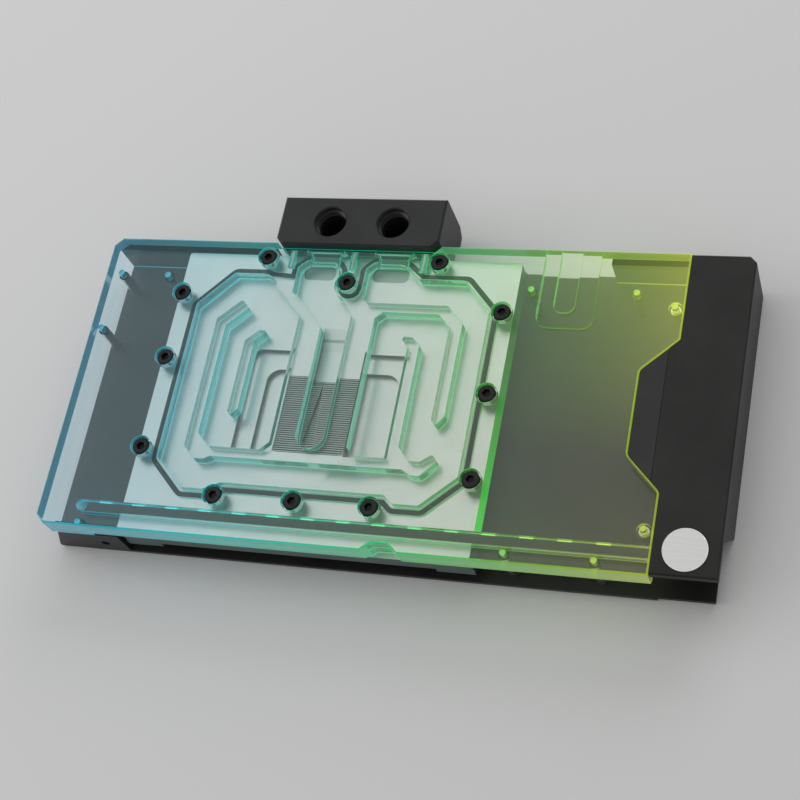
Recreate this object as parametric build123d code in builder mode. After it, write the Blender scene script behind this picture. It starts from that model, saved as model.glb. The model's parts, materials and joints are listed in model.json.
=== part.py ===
from build123d import *
import os

# Liquid cooling block for a graphics card, lying on its backplate with the clear top facing up.
# Places in the plan are measured from the clear top's bottom-left corner: X runs along the card
# towards the end cover, Y runs across it towards the terminal. Heights start at the backplate's back.

# Overall sizes
top_length = 240.0
top_width = 127.6
top_face = 26.5
cover_length = 24.1
terminal_rise = 19.6
terminal_front = 29.5
overall_length = top_length + cover_length
overall_width = top_width + terminal_rise

# Layers of the stack
floor_thickness = 2.5
top_thickness = 10.0
plate_thickness = 6.4
plate_gap = 0.1
top_back = top_face - top_thickness
plate_face = top_back - plate_gap
plate_back = plate_face - plate_thickness
pad_thickness = 1.0
island_drop = 2.7
core_drop = 2.3

# Fits
seam = 0.15
small_gap = 0.1
slide_gap = 0.25
hole_gap = 0.15
thread_gap = 0.05

# Clear top: outline
corner_cut = 3.5
face_bevel = 0.6
cutout_depth = 13.2
cutout_low = 31.4
cutout_high = top_width - 36.2
cutout_radius = 3.0
notch_left = 134.5
notch_length = 14.0
notch_slant = 3.9
notch_depth = 3.4
notch_radius = 2.0
rebate_left = 22.0
rebate_depth = 1.6

# Terminal
terminal_left = 73.2
terminal_length = 68.6
terminal_right = terminal_left + terminal_length
terminal_back = 3.8
terminal_cut = 3.0
terminal_bevel = 0.8
terminal_rear_slope = (2.5, 5.0)
seat_depth = 2.5
seat_gap = 1.0
seat_y = top_width - seat_depth
port_radius = 6.58
ring_width = 0.9
ring_recess_radius = port_radius + ring_width
plug_flange_radius = ring_recess_radius + 0.3
plug_side_gap = 0.52
port_reach = seat_depth + plug_side_gap + plug_flange_radius
port_places = [(94.7, seat_y + port_reach), (121.2, seat_y + port_reach)]
port_depth = 7.5
port_mouth_bevel = 0.5
cavity_radius = 5.6
passage_height = top_back + 4.0
passage_places = [(94.0, passage_height), (122.8, passage_height)]
passage_length = 13.0
passage_width = 2.6
seal_height = top_back + 4.5
seal_places = [(x, seal_height) for x, height in passage_places]
seal_length = 17.8
seal_width = 6.2
seal_band = 1.2
seal_depth = 1.0

# Flow channel in the back of the clear top
channel_depth = 5.0
channel_radius = 1.4
ridge_radius = 0.9
pocket_wall = 3.8
pocket_overlap = 3.4
pocket_top = seat_y - pocket_wall
channel_top = pocket_top - 6.9
channel_left = 42.9
channel_right = 165.3
channel_low = 23.3
lobe_low = 20.1
lobe_cut = (13.0, 12.3)
lobe_flat = (9.6, 10.3)
lobe_step = (7.0, 3.5)
shoulder_left = (13.6, 14.8)
shoulder_right = (11.7, 12.4)
outlet_left = 111.8
outlet_right = 127.6
outlet_slant = 7.3
pocket_cut = 3.2
port_wall_top = channel_top - 11.3
port_wall_low = port_wall_top - 3.8
base_wall_low = 33.9
base_wall_top = 37.9
left_wall_outer = 53.4
left_wall_inner = 57.9
island_left = 67.8
island_right = 71.8
land_left = 88.3
slot_left = 98.3
slot_right = 109.9
land_right = 119.8
hook_wall_left = 135.6
hook_wall_right = 140.2
return_wall_left = 150.8
return_wall_right = 155.7
slot_width = slot_right - slot_left
slot_centre = (slot_left + slot_right) / 2
slot_low = 39.7
bay_place = (106.0, channel_top - 3.8)
bay_radius = 5.95

# Main seal round the channel
seal_land = 1.0
groove_width = 2.1
groove_depth = 1.3
gasket_clearance = 0.1

# Cold plate
plate_left = 32.7
plate_right = 174.2
plate_low = 1.1
plate_seat_gap = 0.5
plate_high = seat_y - plate_seat_gap
plate_corner = 1.0
fin_length = 29.2
fin_shift = 0.8
fin_left = slot_centre - fin_shift - fin_length / 2
fin_low = 38.8
fin_rows = 36
fin_pitch = 0.9
fin_gap = 0.45
fin_depth = 4.0
fin_high = fin_low + fin_rows * fin_pitch
fin_corner = 2.5
valley_depth = 1.5
valley_corners = [(102.8, fin_high - 1.7), (99.4, fin_low + 5.2), (104.4, fin_low + 3.2)]
step_depth = 2.2
well_depth = 4.4
collector_low = 38.5
step_high = fin_high + 11.8
well_high = fin_high + 4.4
step_reach = (18.1, 19.0)
well_reach = (10.9, 15.0)
step_radius = 4.0
well_radius = 5.5
ramp_start = step_high + 10.5
ramp_end = step_high + 1.5
ramp_low = fin_high - 2.7
hollow_width = 6.3
hollow_depth = 1.2
hollow_radius = 2.5
port_hollow_spans = [(84.0, 97.5), (113.2, 128.4)]
core_centre = (slot_centre - fin_shift, (fin_low + fin_high) / 2)
core_size = 32.0
rail_width = 15.0

# Screws: clamp screws through the clear top into the cold plate
clamp_head_radius = 3.5
clamp_head_height = 3.8
clamp_sunk = 0.6
clamp_radius = 1.95
clamp_length = 10.0
clamp_seat = top_face - clamp_sunk - clamp_head_height
clamp_tip = clamp_seat - clamp_length
clamp_bore_radius = clamp_head_radius + 0.65
clamp_left = channel_left - 6.5
clamp_right = channel_right + 5.7
clamp_low = channel_low - 6.2
clamp_high = seat_y - 4.2
clamp_places = [
    (clamp_left, 35.0), (clamp_left, 74.1), (clamp_left, channel_top - 11.0),
    (71.7, clamp_low), (103.9, clamp_low), (134.5, clamp_low),
    (clamp_right, 31.0), (clamp_right, 65.8), (clamp_right, channel_top - 14.3),
    (70.1, clamp_high), (142.3, clamp_high), bay_place,
]

# Screws from behind: countersunk, through the backplate
small_radius = 1.2
small_head_radius = 2.4
bite_depth = 4.2
blind_depth = 4.8
post_radius = 2.0
post_ring_radius = 2.7
flange_post = (16.8, 2.5)
free_posts = [
    (5.1, top_width - 14.9), (26.4, top_width - 15.1), (2.9, top_width - 40.6),
    (180.1, top_width - 15.8), (top_length - 19.2, top_width - 15.7), (top_length - 4.3, top_width - 20.8),
    (top_length - 4.6, 18.5), (top_length - 20.2, 5.1), (186.8, 5.1),
]
ringed_posts = free_posts[5:7]
screw_places = free_posts + [flange_post]
core_spread = 60.0
core_places = [
    (core_centre[0] + side * core_spread / 2, core_centre[1] + end * core_spread / 2)
    for side in (-1, 1)
    for end in (-1, 1)
]
core_post_radius = 2.75
core_post_low = floor_thickness + pad_thickness + 1.6
core_stub_radius = 1.45
core_stub_length = 2.5
core_screw_top = 9.0

# Terminal screws, from its far side into the clear top's edge
terminal_screw_height = (top_face + top_back) / 2
terminal_screw_places = [(x, terminal_screw_height) for x in (80.0, bay_place[0], 135.4)]
terminal_screw_radius = 1.45
terminal_screw_head = 2.75
terminal_screw_head_height = 3.0
terminal_screw_sunk = 0.4
terminal_screw_bite = 7.8

# Rear port plugs
plug_flange_height = 2.3
plug_thread_length = 6.0
plug_socket = 6.0
plug_socket_depth = 2.0
ring_recess_depth = 1.0

# Light bar slot
slot_bar_left = 17.4
slot_bar_low = 6.9
slot_bar_width = 4.6
slot_bar_height = 7.0
bar_width = 2.8
led_board_width = 0.6
led_count = 15
led_pitch = 14.0
led_size = (5.0, 0.8, 2.4)
led_first = 24.0
led_rise = 3.0
bar_left = 19.8
bar_gap = 0.2

# Connector relief in the back of the clear top
relief_left = 183.25
relief_length = 21.95
relief_low = top_width - 30.8
relief_radius = 4.5
relief_depth = 3.0
inner_relief_left = 189.9
inner_relief_length = 8.3
inner_relief_low = top_width - 25.7
inner_relief_radius = 3.6
inner_relief_depth = 5.5

# End cover
cover_wall = 3.0
cover_low = 0.6
cover_high = top_width - 0.5
cover_corner = 2.5
cover_left = top_length + seam
cover_inner = top_face - cover_wall
tongue_left = top_length - 3.4
wall_foot_front = 15.3
wall_foot_back = 25.6
strip_thickness = 1.5
boss_radius = 3.5
boss_bore = 10.0
boss_places = [(top_length + 10, 30.0), (top_length + 10, 63.0), (top_length + 10, top_width - 17.6)]
badge_place = (top_length + 11.7, 10.4)
badge_radius = 8.0
badge_recess = 1.0
badge_proud = 0.3
badge_bevel = 0.2
cover_screw_length = 11.0

# Backplate
flange_thickness = 2.6
flange_left_end = 71.0
flange_right_start = 209.0
lower_flange_length = 31.5
lower_flange_thickness = 3.0
lower_flange_slant = 5.8
bracket_hole_place = (23.0, 8.2)
bracket_hole_radius = 1.75
floor_bevel = 0.8
floor_gap = 0.5

# Pads
memory_pad = (14.0, 12.0)
memory_places = [
    (60.0, 36.0), (60.0, 52.0), (60.0, 68.0),
    (146.6, 36.0), (146.6, 52.0), (146.6, 68.0),
    (82.0, 99.0), (103.3, 99.0), (124.6, 99.0),
]
island_margin = 1.0
power_pad = (9.0, 46.0)
power_places = [(40.2, 40.0), (40.2, 92.0), (166.7, 40.0), (166.7, 92.0)]
back_pad = (12.0, 10.0)

os.makedirs("parts", exist_ok=True)

on_floor = (Align.CENTER, Align.CENTER, Align.MIN)
from_corner = (Align.MIN, Align.MIN)


def level(height):
    """Drawing plane at a height, its origin over the clear top's bottom-left corner."""
    return Plane((-overall_length / 2, -overall_width / 2, height))


def across(place):
    """Upright plane at a place along Y, facing the bottom edge, with height as its second axis."""
    corner = (-overall_length / 2, place - overall_width / 2, 0)
    return Plane(corner, x_dir=(1, 0, 0), z_dir=(0, -1, 0))


def along(place):
    """Upright plane at a place along X, facing the end cover, with Y and height as its axes."""
    corner = (place - overall_length / 2, -overall_width / 2, 0)
    return Plane(corner, x_dir=(0, 1, 0), z_dir=(1, 0, 0))


def rounded(points, radius):
    """Face inside a closed run of straight edges, with every corner rounded."""
    with BuildSketch() as shape:
        with BuildLine():
            FilletPolyline(*points, radius=radius, close=True)
        make_face()
    return shape.sketch


def cut_circles(height, places, radius, depth):
    """Round holes of one depth, from a height downwards, or upwards where the depth is negative."""
    with BuildSketch(level(height)) as holes:
        with Locations(*places):
            Circle(radius)
    extrude(holes.sketch, amount=-depth, mode=Mode.SUBTRACT)


def add_circles(height, places, radius, length):
    """Round posts of one length, upwards from a height."""
    with BuildSketch(level(height)) as posts:
        with Locations(*places):
            Circle(radius)
    extrude(posts.sketch, amount=length)


def countersunk(places, head_radius, shank_radius, length, mode):
    """Countersunk bodies standing on their heads on the current workplane."""
    with Locations(*places):
        Cone(head_radius, shank_radius, head_radius - shank_radius, align=on_floor, mode=mode)
        Cylinder(shank_radius, length, align=on_floor, mode=mode)


# Flow channel: its outer edge, then the walls left standing in it. A number beside a named wall or
# edge is one leg of a slanted corner there.
channel_edge = rounded(
    [
        (channel_left, channel_top - shoulder_left[1]), (channel_left, lobe_low + lobe_cut[1]),
        (channel_left + lobe_cut[0], lobe_low), (channel_left + lobe_cut[0] + lobe_flat[0], lobe_low),
        (channel_left + lobe_cut[0] + lobe_flat[0] + lobe_step[0], channel_low),
        (channel_right - lobe_cut[0] - lobe_flat[1] - lobe_step[1], channel_low),
        (channel_right - lobe_cut[0] - lobe_flat[1], lobe_low), (channel_right - lobe_cut[0], lobe_low),
        (channel_right, lobe_low + lobe_cut[1]), (channel_right, channel_top - shoulder_right[1]),
        (channel_right - shoulder_right[0], channel_top), (outlet_right + outlet_slant, channel_top),
        (outlet_right, pocket_top - 0.7), (outlet_right - 2.8, pocket_top),
        (outlet_left + pocket_cut, pocket_top), (outlet_left, pocket_top - pocket_cut),
        (outlet_left, port_wall_top + 4.1), (land_left - 17.4, channel_top - 0.8),
        (land_left - 18.8, channel_top), (channel_left + shoulder_left[0], channel_top),
    ],
    channel_radius,
)
core_lands = rounded(
    [
        (land_left - 17.4, channel_top - 0.8), (land_left, channel_top - 17.9),
        (land_left, base_wall_top + 3.4), (land_left - 3.5, base_wall_top),
        (land_left - 3.5, base_wall_low + 2),
        (land_right + 3.4, base_wall_low + 2), (land_right + 3.4, base_wall_top),
        (land_right, base_wall_top + 3.4), (land_right, port_wall_low - 2.7), (land_right + 3, port_wall_low),
        (return_wall_left - 5.3, port_wall_low), (return_wall_left, port_wall_low - 5.3),
        (return_wall_left, 54.5), (return_wall_left + 2.1, 52.4), (return_wall_right, 56.7),
        (return_wall_right, port_wall_top - 7.1), (return_wall_right - 7.1, port_wall_top),
        (outlet_left + pocket_cut, port_wall_top), (outlet_left, port_wall_top + 4.1), bay_place,
    ],
    ridge_radius,
)
outer_wall = rounded(
    [
        (left_wall_outer + 9, channel_top - 12.2), (left_wall_outer, channel_top - 21.2),
        (left_wall_outer, base_wall_low + 3.4), (left_wall_outer + 5, base_wall_low - 1.4),
        (left_wall_outer + 9.1, base_wall_low - 1.4), (left_wall_outer + 12, base_wall_low),
        (hook_wall_right + 3.1, base_wall_low), (hook_wall_right + 6.8, base_wall_low - 2.1),
        (hook_wall_right + 10.3, base_wall_low - 2.1), (hook_wall_right + 15.9, base_wall_top + 0.3),
        (hook_wall_right + 13.7, base_wall_top + 2.8), (hook_wall_right + 9.3, base_wall_top - 0.4),
        (hook_wall_right + 4.9, base_wall_top - 0.4), (hook_wall_right, base_wall_top + 4.9),
        (hook_wall_right, channel_top - 28.8), (hook_wall_right - 3.3, channel_top - 25.5),
        (hook_wall_left - 4.0, channel_top - 25.5), (hook_wall_left, channel_top - 29.5),
        (hook_wall_left, base_wall_top), (left_wall_inner + 5.6, base_wall_top),
        (left_wall_inner, base_wall_top + 5.3), (left_wall_inner, channel_top - 23.7),
        (left_wall_inner + 8.1, channel_top - 15.6),
    ],
    ridge_radius,
)
island = rounded(
    [
        (island_left + 1.2, 51.8), (island_right, 54.4), (island_right, channel_top - 29.9),
        (island_right + 3.3, channel_top - 26.6), (island_right + 5.9, channel_top - 25.6),
        (island_left + 5.0, channel_top - 25.4), (island_left, channel_top - 30.4), (island_left, 53.0),
    ],
    ridge_radius * 0.6,
)
inlet_edge = rounded(
    [
        (82.85, port_wall_top + 3.4), (82.85, pocket_top - 3.4), (86.6, pocket_top), (97.4, pocket_top),
        (100.6, pocket_top - 3.8), (102.1, channel_top - 6.4), (slot_right, channel_top - 17.2),
        (slot_right, slot_low + slot_width / 2), (slot_left, slot_low + slot_width / 2),
        (slot_left, channel_top - 22.7), (85.2, port_wall_top + 2.2),
    ],
    ridge_radius,
)

with BuildSketch() as inlet_channel:
    add(inlet_edge)
    with Locations((slot_centre, slot_low + slot_width / 2)):
        Circle(slot_width / 2)
    with Locations(bay_place):
        Circle(bay_radius, mode=Mode.SUBTRACT)

with BuildSketch() as flow_channel:
    add(channel_edge)
    add(core_lands, mode=Mode.SUBTRACT)
    add(outer_wall, mode=Mode.SUBTRACT)
    add(island, mode=Mode.SUBTRACT)
    add(inlet_channel.sketch)

with BuildSketch() as sealed_area:
    add(channel_edge)
    add(core_lands)
    add(inlet_edge)
    with Locations(bay_place):
        Circle(bay_radius, mode=Mode.SUBTRACT)
        Rectangle(2 * bay_radius, 2 * bay_radius, align=(Align.CENTER, Align.MIN), mode=Mode.SUBTRACT)

# Seal groove and the gasket in it, both following the sealed area
groove_inner = offset(sealed_area.sketch, amount=seal_land)
groove_outer = offset(sealed_area.sketch, amount=seal_land + groove_width)
gasket_inner = offset(sealed_area.sketch, amount=seal_land + gasket_clearance)
gasket_outer = offset(sealed_area.sketch, amount=seal_land + groove_width - gasket_clearance)

# Cut-out at the end of the clear top, drawn past its mouth
cutout_mouth = 5.0
accent_cutout = rounded(
    [
        (top_length + cutout_mouth, cutout_low - cutout_mouth),
        (top_length - cutout_depth, cutout_low + cutout_depth),
        (top_length - cutout_depth, cutout_high - cutout_depth),
        (top_length + cutout_mouth, cutout_high + cutout_mouth),
    ],
    cutout_radius,
)
tongue_shape = offset(accent_cutout, amount=-seam)
ledge_shape = offset(accent_cutout, amount=-slide_gap)

# Clear top's outline: chamfered outer end, cut-out at the cover end, seat for the terminal
mouth_corners = [
    (top_length, cutout_low), (top_length - cutout_depth, cutout_low + cutout_depth),
    (top_length - cutout_depth, cutout_high - cutout_depth), (top_length, cutout_high),
]
seat_corners = [
    (terminal_right - terminal_cut + seat_gap + seat_depth, top_width),
    (terminal_right - terminal_cut + seat_gap, seat_y),
    (terminal_left + terminal_cut - seat_gap, seat_y),
    (terminal_left + terminal_cut - seat_gap - seat_depth, top_width),
]
end_corners = [
    (corner_cut, top_width), (0, top_width - corner_cut), (0, corner_cut), (corner_cut, 0), (top_length, 0),
]
plain_corners = [(top_length, top_width)] + seat_corners + end_corners
corner_radii = [cutout_radius] * len(mouth_corners) + [0] * len(plain_corners)
top_outline = rounded(mouth_corners + plain_corners, corner_radii)

# Clear top
with BuildPart() as acrylic_top:
    with BuildSketch(level(top_back)):
        add(top_outline)
    extrude(amount=top_thickness)
    with BuildSketch(level(top_back)) as cable_notch:
        with BuildLine():
            Polyline(
                (notch_left, 0), (notch_left + notch_slant, notch_depth),
                (notch_left + notch_length - notch_slant, notch_depth), (notch_left + notch_length, 0),
                close=True,
            )
        make_face()
        fillet(cable_notch.vertices().group_by(Axis.Y)[-1], notch_radius)
    extrude(amount=top_thickness, mode=Mode.SUBTRACT)
    chamfer(acrylic_top.faces().sort_by(Axis.Z)[-1].outer_wire().edges(), face_bevel)
    with BuildSketch(along(rebate_left)):
        with BuildLine():
            Polyline((0, top_back), (rebate_depth, top_back), (0, top_back + rebate_depth), close=True)
        make_face()
    extrude(amount=top_length, mode=Mode.SUBTRACT)
    with BuildSketch(level(top_back)):
        add(flow_channel.sketch)
    extrude(amount=channel_depth, mode=Mode.SUBTRACT)
    with BuildSketch(level(top_back)):
        add(groove_outer)
        add(groove_inner, mode=Mode.SUBTRACT)
    extrude(amount=groove_depth, mode=Mode.SUBTRACT)
    with BuildSketch(level(top_back)):
        with Locations((slot_bar_left, slot_bar_low)):
            Rectangle(top_length, slot_bar_width, align=from_corner)
        with Locations((slot_bar_left, slot_bar_low + slot_bar_width / 2)):
            Circle(slot_bar_width / 2)
    extrude(amount=slot_bar_height, mode=Mode.SUBTRACT)
    with BuildSketch(level(top_back)) as outer_relief:
        with Locations((relief_left, relief_low)):
            Rectangle(relief_length, top_width, align=from_corner)
        fillet(outer_relief.vertices().group_by(Axis.Y)[0], relief_radius)
    extrude(amount=relief_depth, mode=Mode.SUBTRACT)
    with BuildSketch(level(top_back)) as inner_relief:
        with Locations((inner_relief_left, inner_relief_low)):
            Rectangle(inner_relief_length, top_width, align=from_corner)
        fillet(inner_relief.vertices().group_by(Axis.Y)[0], inner_relief_radius)
    extrude(amount=inner_relief_depth, mode=Mode.SUBTRACT)
    cut_circles(top_face, clamp_places, clamp_bore_radius, top_face - clamp_seat)
    cut_circles(top_face, clamp_places, clamp_radius + hole_gap, top_thickness)
    cut_circles(top_back, screw_places, small_radius + thread_gap, -blind_depth)
    cut_circles(top_back, ringed_posts, post_ring_radius, -rebate_depth)
    with BuildSketch(across(seat_y)):
        with Locations(*seal_places):
            SlotOverall(seal_length, seal_width)
    extrude(amount=seal_depth, mode=Mode.SUBTRACT)
    with BuildSketch(across(seat_y)):
        with Locations(*passage_places):
            SlotOverall(passage_length, passage_width)
    extrude(amount=pocket_wall + pocket_overlap, mode=Mode.SUBTRACT)
    with BuildSketch(across(seat_y)):
        with Locations(*terminal_screw_places):
            Circle(terminal_screw_radius + thread_gap)
    extrude(amount=terminal_screw_bite + small_gap, mode=Mode.SUBTRACT)
acrylic_top.part.label = "acrylic_top"
export_step(acrylic_top.part, "parts/acrylic_top.step")

# Main seal between clear top and cold plate
with BuildPart() as main_gasket:
    with BuildSketch(level(plate_face)):
        add(gasket_outer)
        add(gasket_inner, mode=Mode.SUBTRACT)
    extrude(amount=plate_gap + groove_depth - gasket_clearance)
main_gasket.part.label = "main_gasket"
export_step(main_gasket.part, "parts/main_gasket.step")

# Cold plate: fins under the inlet slot, with a stepped collector on each side of them
with BuildPart() as cold_plate:
    with BuildSketch(level(plate_back)) as plate_outline:
        with Locations((plate_left, plate_low)):
            Rectangle(plate_right - plate_left, plate_high - plate_low, align=from_corner)
        fillet(plate_outline.vertices(), plate_corner)
    extrude(amount=plate_thickness)
    with BuildSketch(level(plate_back)):
        with Locations((plate_left, plate_low)):
            Rectangle(rail_width, plate_high - plate_low, align=from_corner)
        with Locations((plate_right - rail_width, plate_low)):
            Rectangle(rail_width, plate_high - plate_low, align=from_corner)
        with Locations(*memory_places):
            Rectangle(memory_pad[0] + 2 * island_margin, memory_pad[1] + 2 * island_margin)
    extrude(amount=-island_drop)
    with BuildSketch(level(plate_back)):
        with Locations(core_centre):
            RectangleRounded(core_size, core_size, plate_corner)
    extrude(amount=-core_drop)
    for reach, high, depth, radius in (
        (step_reach, step_high, step_depth, step_radius),
        (well_reach, well_high, well_depth, well_radius),
    ):
        with BuildSketch(level(plate_face)) as collector:
            with Locations((fin_left - reach[0], collector_low)):
                Rectangle(reach[0] + fin_length + reach[1], high - collector_low, align=from_corner)
            fillet(collector.vertices().group_by(Axis.Y)[-1], radius)
            with Locations((fin_left, collector_low)):
                Rectangle(fin_length, high - collector_low, align=from_corner, mode=Mode.SUBTRACT)
        extrude(amount=-depth, mode=Mode.SUBTRACT)
    with BuildSketch(level(plate_face)) as fin_slots:
        with Locations((fin_left, fin_low)):
            Rectangle(fin_length, fin_rows * fin_pitch, align=from_corner)
        fillet(fin_slots.vertices().group_by(Axis.Y)[0], fin_corner)
        with Locations(core_centre):
            with GridLocations(0, fin_pitch, 1, fin_rows):
                Rectangle(fin_length, fin_pitch - fin_gap, mode=Mode.SUBTRACT)
    extrude(amount=-fin_depth, mode=Mode.SUBTRACT)
    with BuildSketch(level(plate_face)):
        with BuildLine():
            Polyline(valley_corners, close=True)
        make_face()
    extrude(amount=-valley_depth, mode=Mode.SUBTRACT)
    with BuildSketch(along(slot_left)):
        with BuildLine():
            Polyline(
                (ramp_start, plate_face), (ramp_end, plate_face - step_depth),
                (ramp_low, plate_face - step_depth), (ramp_low, plate_face),
                close=True,
            )
        make_face()
    extrude(amount=slot_width, mode=Mode.SUBTRACT)
    with BuildSketch(level(plate_face)) as port_hollows:
        for left, right in port_hollow_spans:
            with Locations((left, pocket_top - hollow_width)):
                Rectangle(right - left, hollow_width - hole_gap, align=from_corner)
        fillet(port_hollows.vertices(), hollow_radius)
    extrude(amount=-hollow_depth, mode=Mode.SUBTRACT)
    cut_circles(plate_face, clamp_places, clamp_radius + thread_gap, plate_face - clamp_tip + small_gap)
    cut_circles(plate_back, core_places, core_stub_radius + thread_gap, -core_stub_length - small_gap)
cold_plate.part.label = "cold_plate"
export_step(cold_plate.part, "parts/cold_plate.step")

# Clamp screws
with BuildPart() as clamp_screws:
    add_circles(clamp_seat, clamp_places, clamp_head_radius, clamp_head_height)
    add_circles(clamp_tip, clamp_places, clamp_radius, clamp_length)
clamp_screws.part.label = "clamp_screws"
export_step(clamp_screws.part, "parts/clamp_screws.step")

# Terminal: a threaded port in front and behind at each place, joined by a cavity that opens downwards
with BuildPart() as terminal_block:
    with BuildSketch(along(terminal_left)):
        with BuildLine():
            Polyline(
                (seat_y, terminal_back), (overall_width - terminal_rear_slope[0], terminal_back),
                (overall_width, terminal_back + terminal_rear_slope[1]), (overall_width, terminal_front),
                (seat_y, terminal_front),
                close=True,
            )
        make_face()
    extrude(amount=terminal_length)
    upright = terminal_block.edges().filter_by(Axis.Z).group_by(Axis.Y)[0]
    chamfer(upright, terminal_cut)
    chamfer(terminal_block.faces().sort_by(Axis.Z)[-1].outer_wire().edges(), terminal_bevel)
    cut_circles(terminal_front, port_places, port_radius, port_depth)
    cut_circles(terminal_back, port_places, port_radius, -port_depth)
    cut_circles(terminal_back, port_places, ring_recess_radius, -ring_recess_depth)
    cut_circles(terminal_front, port_places, cavity_radius, terminal_front - terminal_back)
    front_rims = terminal_block.edges().filter_by(GeomType.CIRCLE).group_by(Axis.Z)[-1]
    chamfer(front_rims, port_mouth_bevel)
    with BuildSketch(across(seat_y)):
        with Locations(*passage_places):
            SlotOverall(passage_length, passage_width)
    extrude(amount=-port_reach, mode=Mode.SUBTRACT)
    with BuildSketch(across(overall_width)):
        with Locations(*terminal_screw_places):
            Circle(terminal_screw_radius + hole_gap)
    extrude(amount=overall_width - seat_y, mode=Mode.SUBTRACT)
    with BuildSketch(across(overall_width)):
        with Locations(*terminal_screw_places):
            Circle(terminal_screw_head + slide_gap)
    extrude(amount=terminal_screw_sunk + terminal_screw_head_height, mode=Mode.SUBTRACT)
terminal_block.part.label = "terminal_block"
export_step(terminal_block.part, "parts/terminal_block.step")

# Two racetrack seals between the terminal and the clear top
with BuildPart() as terminal_gaskets:
    with BuildSketch(across(seat_y)):
        with Locations(*seal_places):
            SlotOverall(seal_length - 2 * small_gap, seal_width - 2 * small_gap)
            SlotOverall(
                seal_length - 2 * small_gap - 2 * seal_band, seal_width - 2 * small_gap - 2 * seal_band,
                mode=Mode.SUBTRACT,
            )
    extrude(amount=seal_depth - small_gap)
terminal_gaskets.part.label = "terminal_gaskets"
export_step(terminal_gaskets.part, "parts/terminal_gaskets.step")

# Terminal screws, entering from the terminal's far side
with BuildPart() as terminal_screws:
    with BuildSketch(across(overall_width - terminal_screw_sunk)):
        with Locations(*terminal_screw_places):
            Circle(terminal_screw_head)
    extrude(amount=terminal_screw_head_height)
    with BuildSketch(across(seat_y - terminal_screw_bite)):
        with Locations(*terminal_screw_places):
            Circle(terminal_screw_radius)
    extrude(amount=-(overall_width - terminal_screw_sunk - seat_y + terminal_screw_bite))
terminal_screws.part.label = "terminal_screws"
export_step(terminal_screws.part, "parts/terminal_screws.step")

# Plugs that close the rear ports, and their sealing rings
with BuildPart() as rear_port_plugs:
    add_circles(terminal_back - plug_flange_height, port_places, plug_flange_radius, plug_flange_height)
    add_circles(terminal_back, port_places, port_radius - thread_gap, plug_thread_length)
    with BuildSketch(level(terminal_back - plug_flange_height)):
        with Locations(*port_places):
            RegularPolygon(plug_socket / 2, 6, major_radius=False)
    extrude(amount=plug_flange_height + plug_socket_depth, mode=Mode.SUBTRACT)
rear_port_plugs.part.label = "rear_port_plugs"
export_step(rear_port_plugs.part, "parts/rear_port_plugs.step")

with BuildPart() as plug_o_rings:
    add_circles(terminal_back, port_places, ring_recess_radius - thread_gap, ring_recess_depth - small_gap)
    cut_circles(terminal_back, port_places, port_radius, -ring_recess_depth)
plug_o_rings.part.label = "plug_o_rings"
export_step(plug_o_rings.part, "parts/plug_o_rings.step")

# End cover: a face plate with two walls, open towards the card and along the bottom edge
with BuildPart() as end_cover:
    with BuildSketch(level(0)) as cover_outline:
        with Locations((cover_left, cover_low)):
            Rectangle(overall_length - cover_left, cover_high - cover_low, align=from_corner)
        outer_corners = cover_outline.vertices().group_by(Axis.X)[-1].sort_by(Axis.Y)
        chamfer(outer_corners[-1], cover_corner)
    extrude(amount=top_face)
    chamfer(end_cover.faces().sort_by(Axis.Z)[-1].outer_wire().edges().sort_by(Axis.X)[1:], face_bevel)
    with BuildSketch(level(0)):
        with Locations((cover_left, cover_low)):
            Rectangle(
                overall_length - cover_left - cover_wall, cover_high - cover_low - cover_wall,
                align=from_corner,
            )
    extrude(amount=cover_inner, mode=Mode.SUBTRACT)
    with BuildSketch(along(overall_length - cover_wall)):
        with BuildLine():
            Polyline(
                (0, 0), (wall_foot_back, 0), (wall_foot_front, cover_inner), (0, cover_inner), close=True
            )
        make_face()
    extrude(amount=cover_wall, mode=Mode.SUBTRACT)
    with BuildSketch(level(cover_inner)):
        add(tongue_shape)
        with Locations((tongue_left, 0)):
            Rectangle(cover_left - tongue_left, top_width, align=from_corner, mode=Mode.INTERSECT)
    extrude(amount=cover_wall)
    with BuildSketch(level(cover_inner)):
        add(ledge_shape)
        with Locations((0, 0)):
            Rectangle(tongue_left + seam, top_width, align=from_corner, mode=Mode.INTERSECT)
    extrude(amount=cover_wall - strip_thickness)
    add_circles(floor_thickness, boss_places, boss_radius, cover_inner - floor_thickness)
    cut_circles(floor_thickness, boss_places, small_radius + thread_gap, -boss_bore)
    cut_circles(top_face, [badge_place], badge_radius + hole_gap, badge_recess)
end_cover.part.label = "end_cover"
export_step(end_cover.part, "parts/end_cover.step")

# Accent strip lying on the cover's ledge, between the clear top and the cover's tongue
with BuildPart() as accent_strip:
    with BuildSketch(level(top_face - strip_thickness)):
        add(ledge_shape)
        with Locations((0, 0)):
            Rectangle(tongue_left - seam, top_width, align=from_corner, mode=Mode.INTERSECT)
    extrude(amount=strip_thickness)
accent_strip.part.label = "accent_strip"
export_step(accent_strip.part, "parts/accent_strip.step")

# Round badge, bare, standing a little proud of the cover
with BuildPart() as badge:
    add_circles(top_face - badge_recess, [badge_place], badge_radius, badge_recess + badge_proud)
    chamfer(badge.edges().group_by(Axis.Z)[-1], badge_bevel)
badge.part.label = "badge"
export_step(badge.part, "parts/badge.step")

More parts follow.
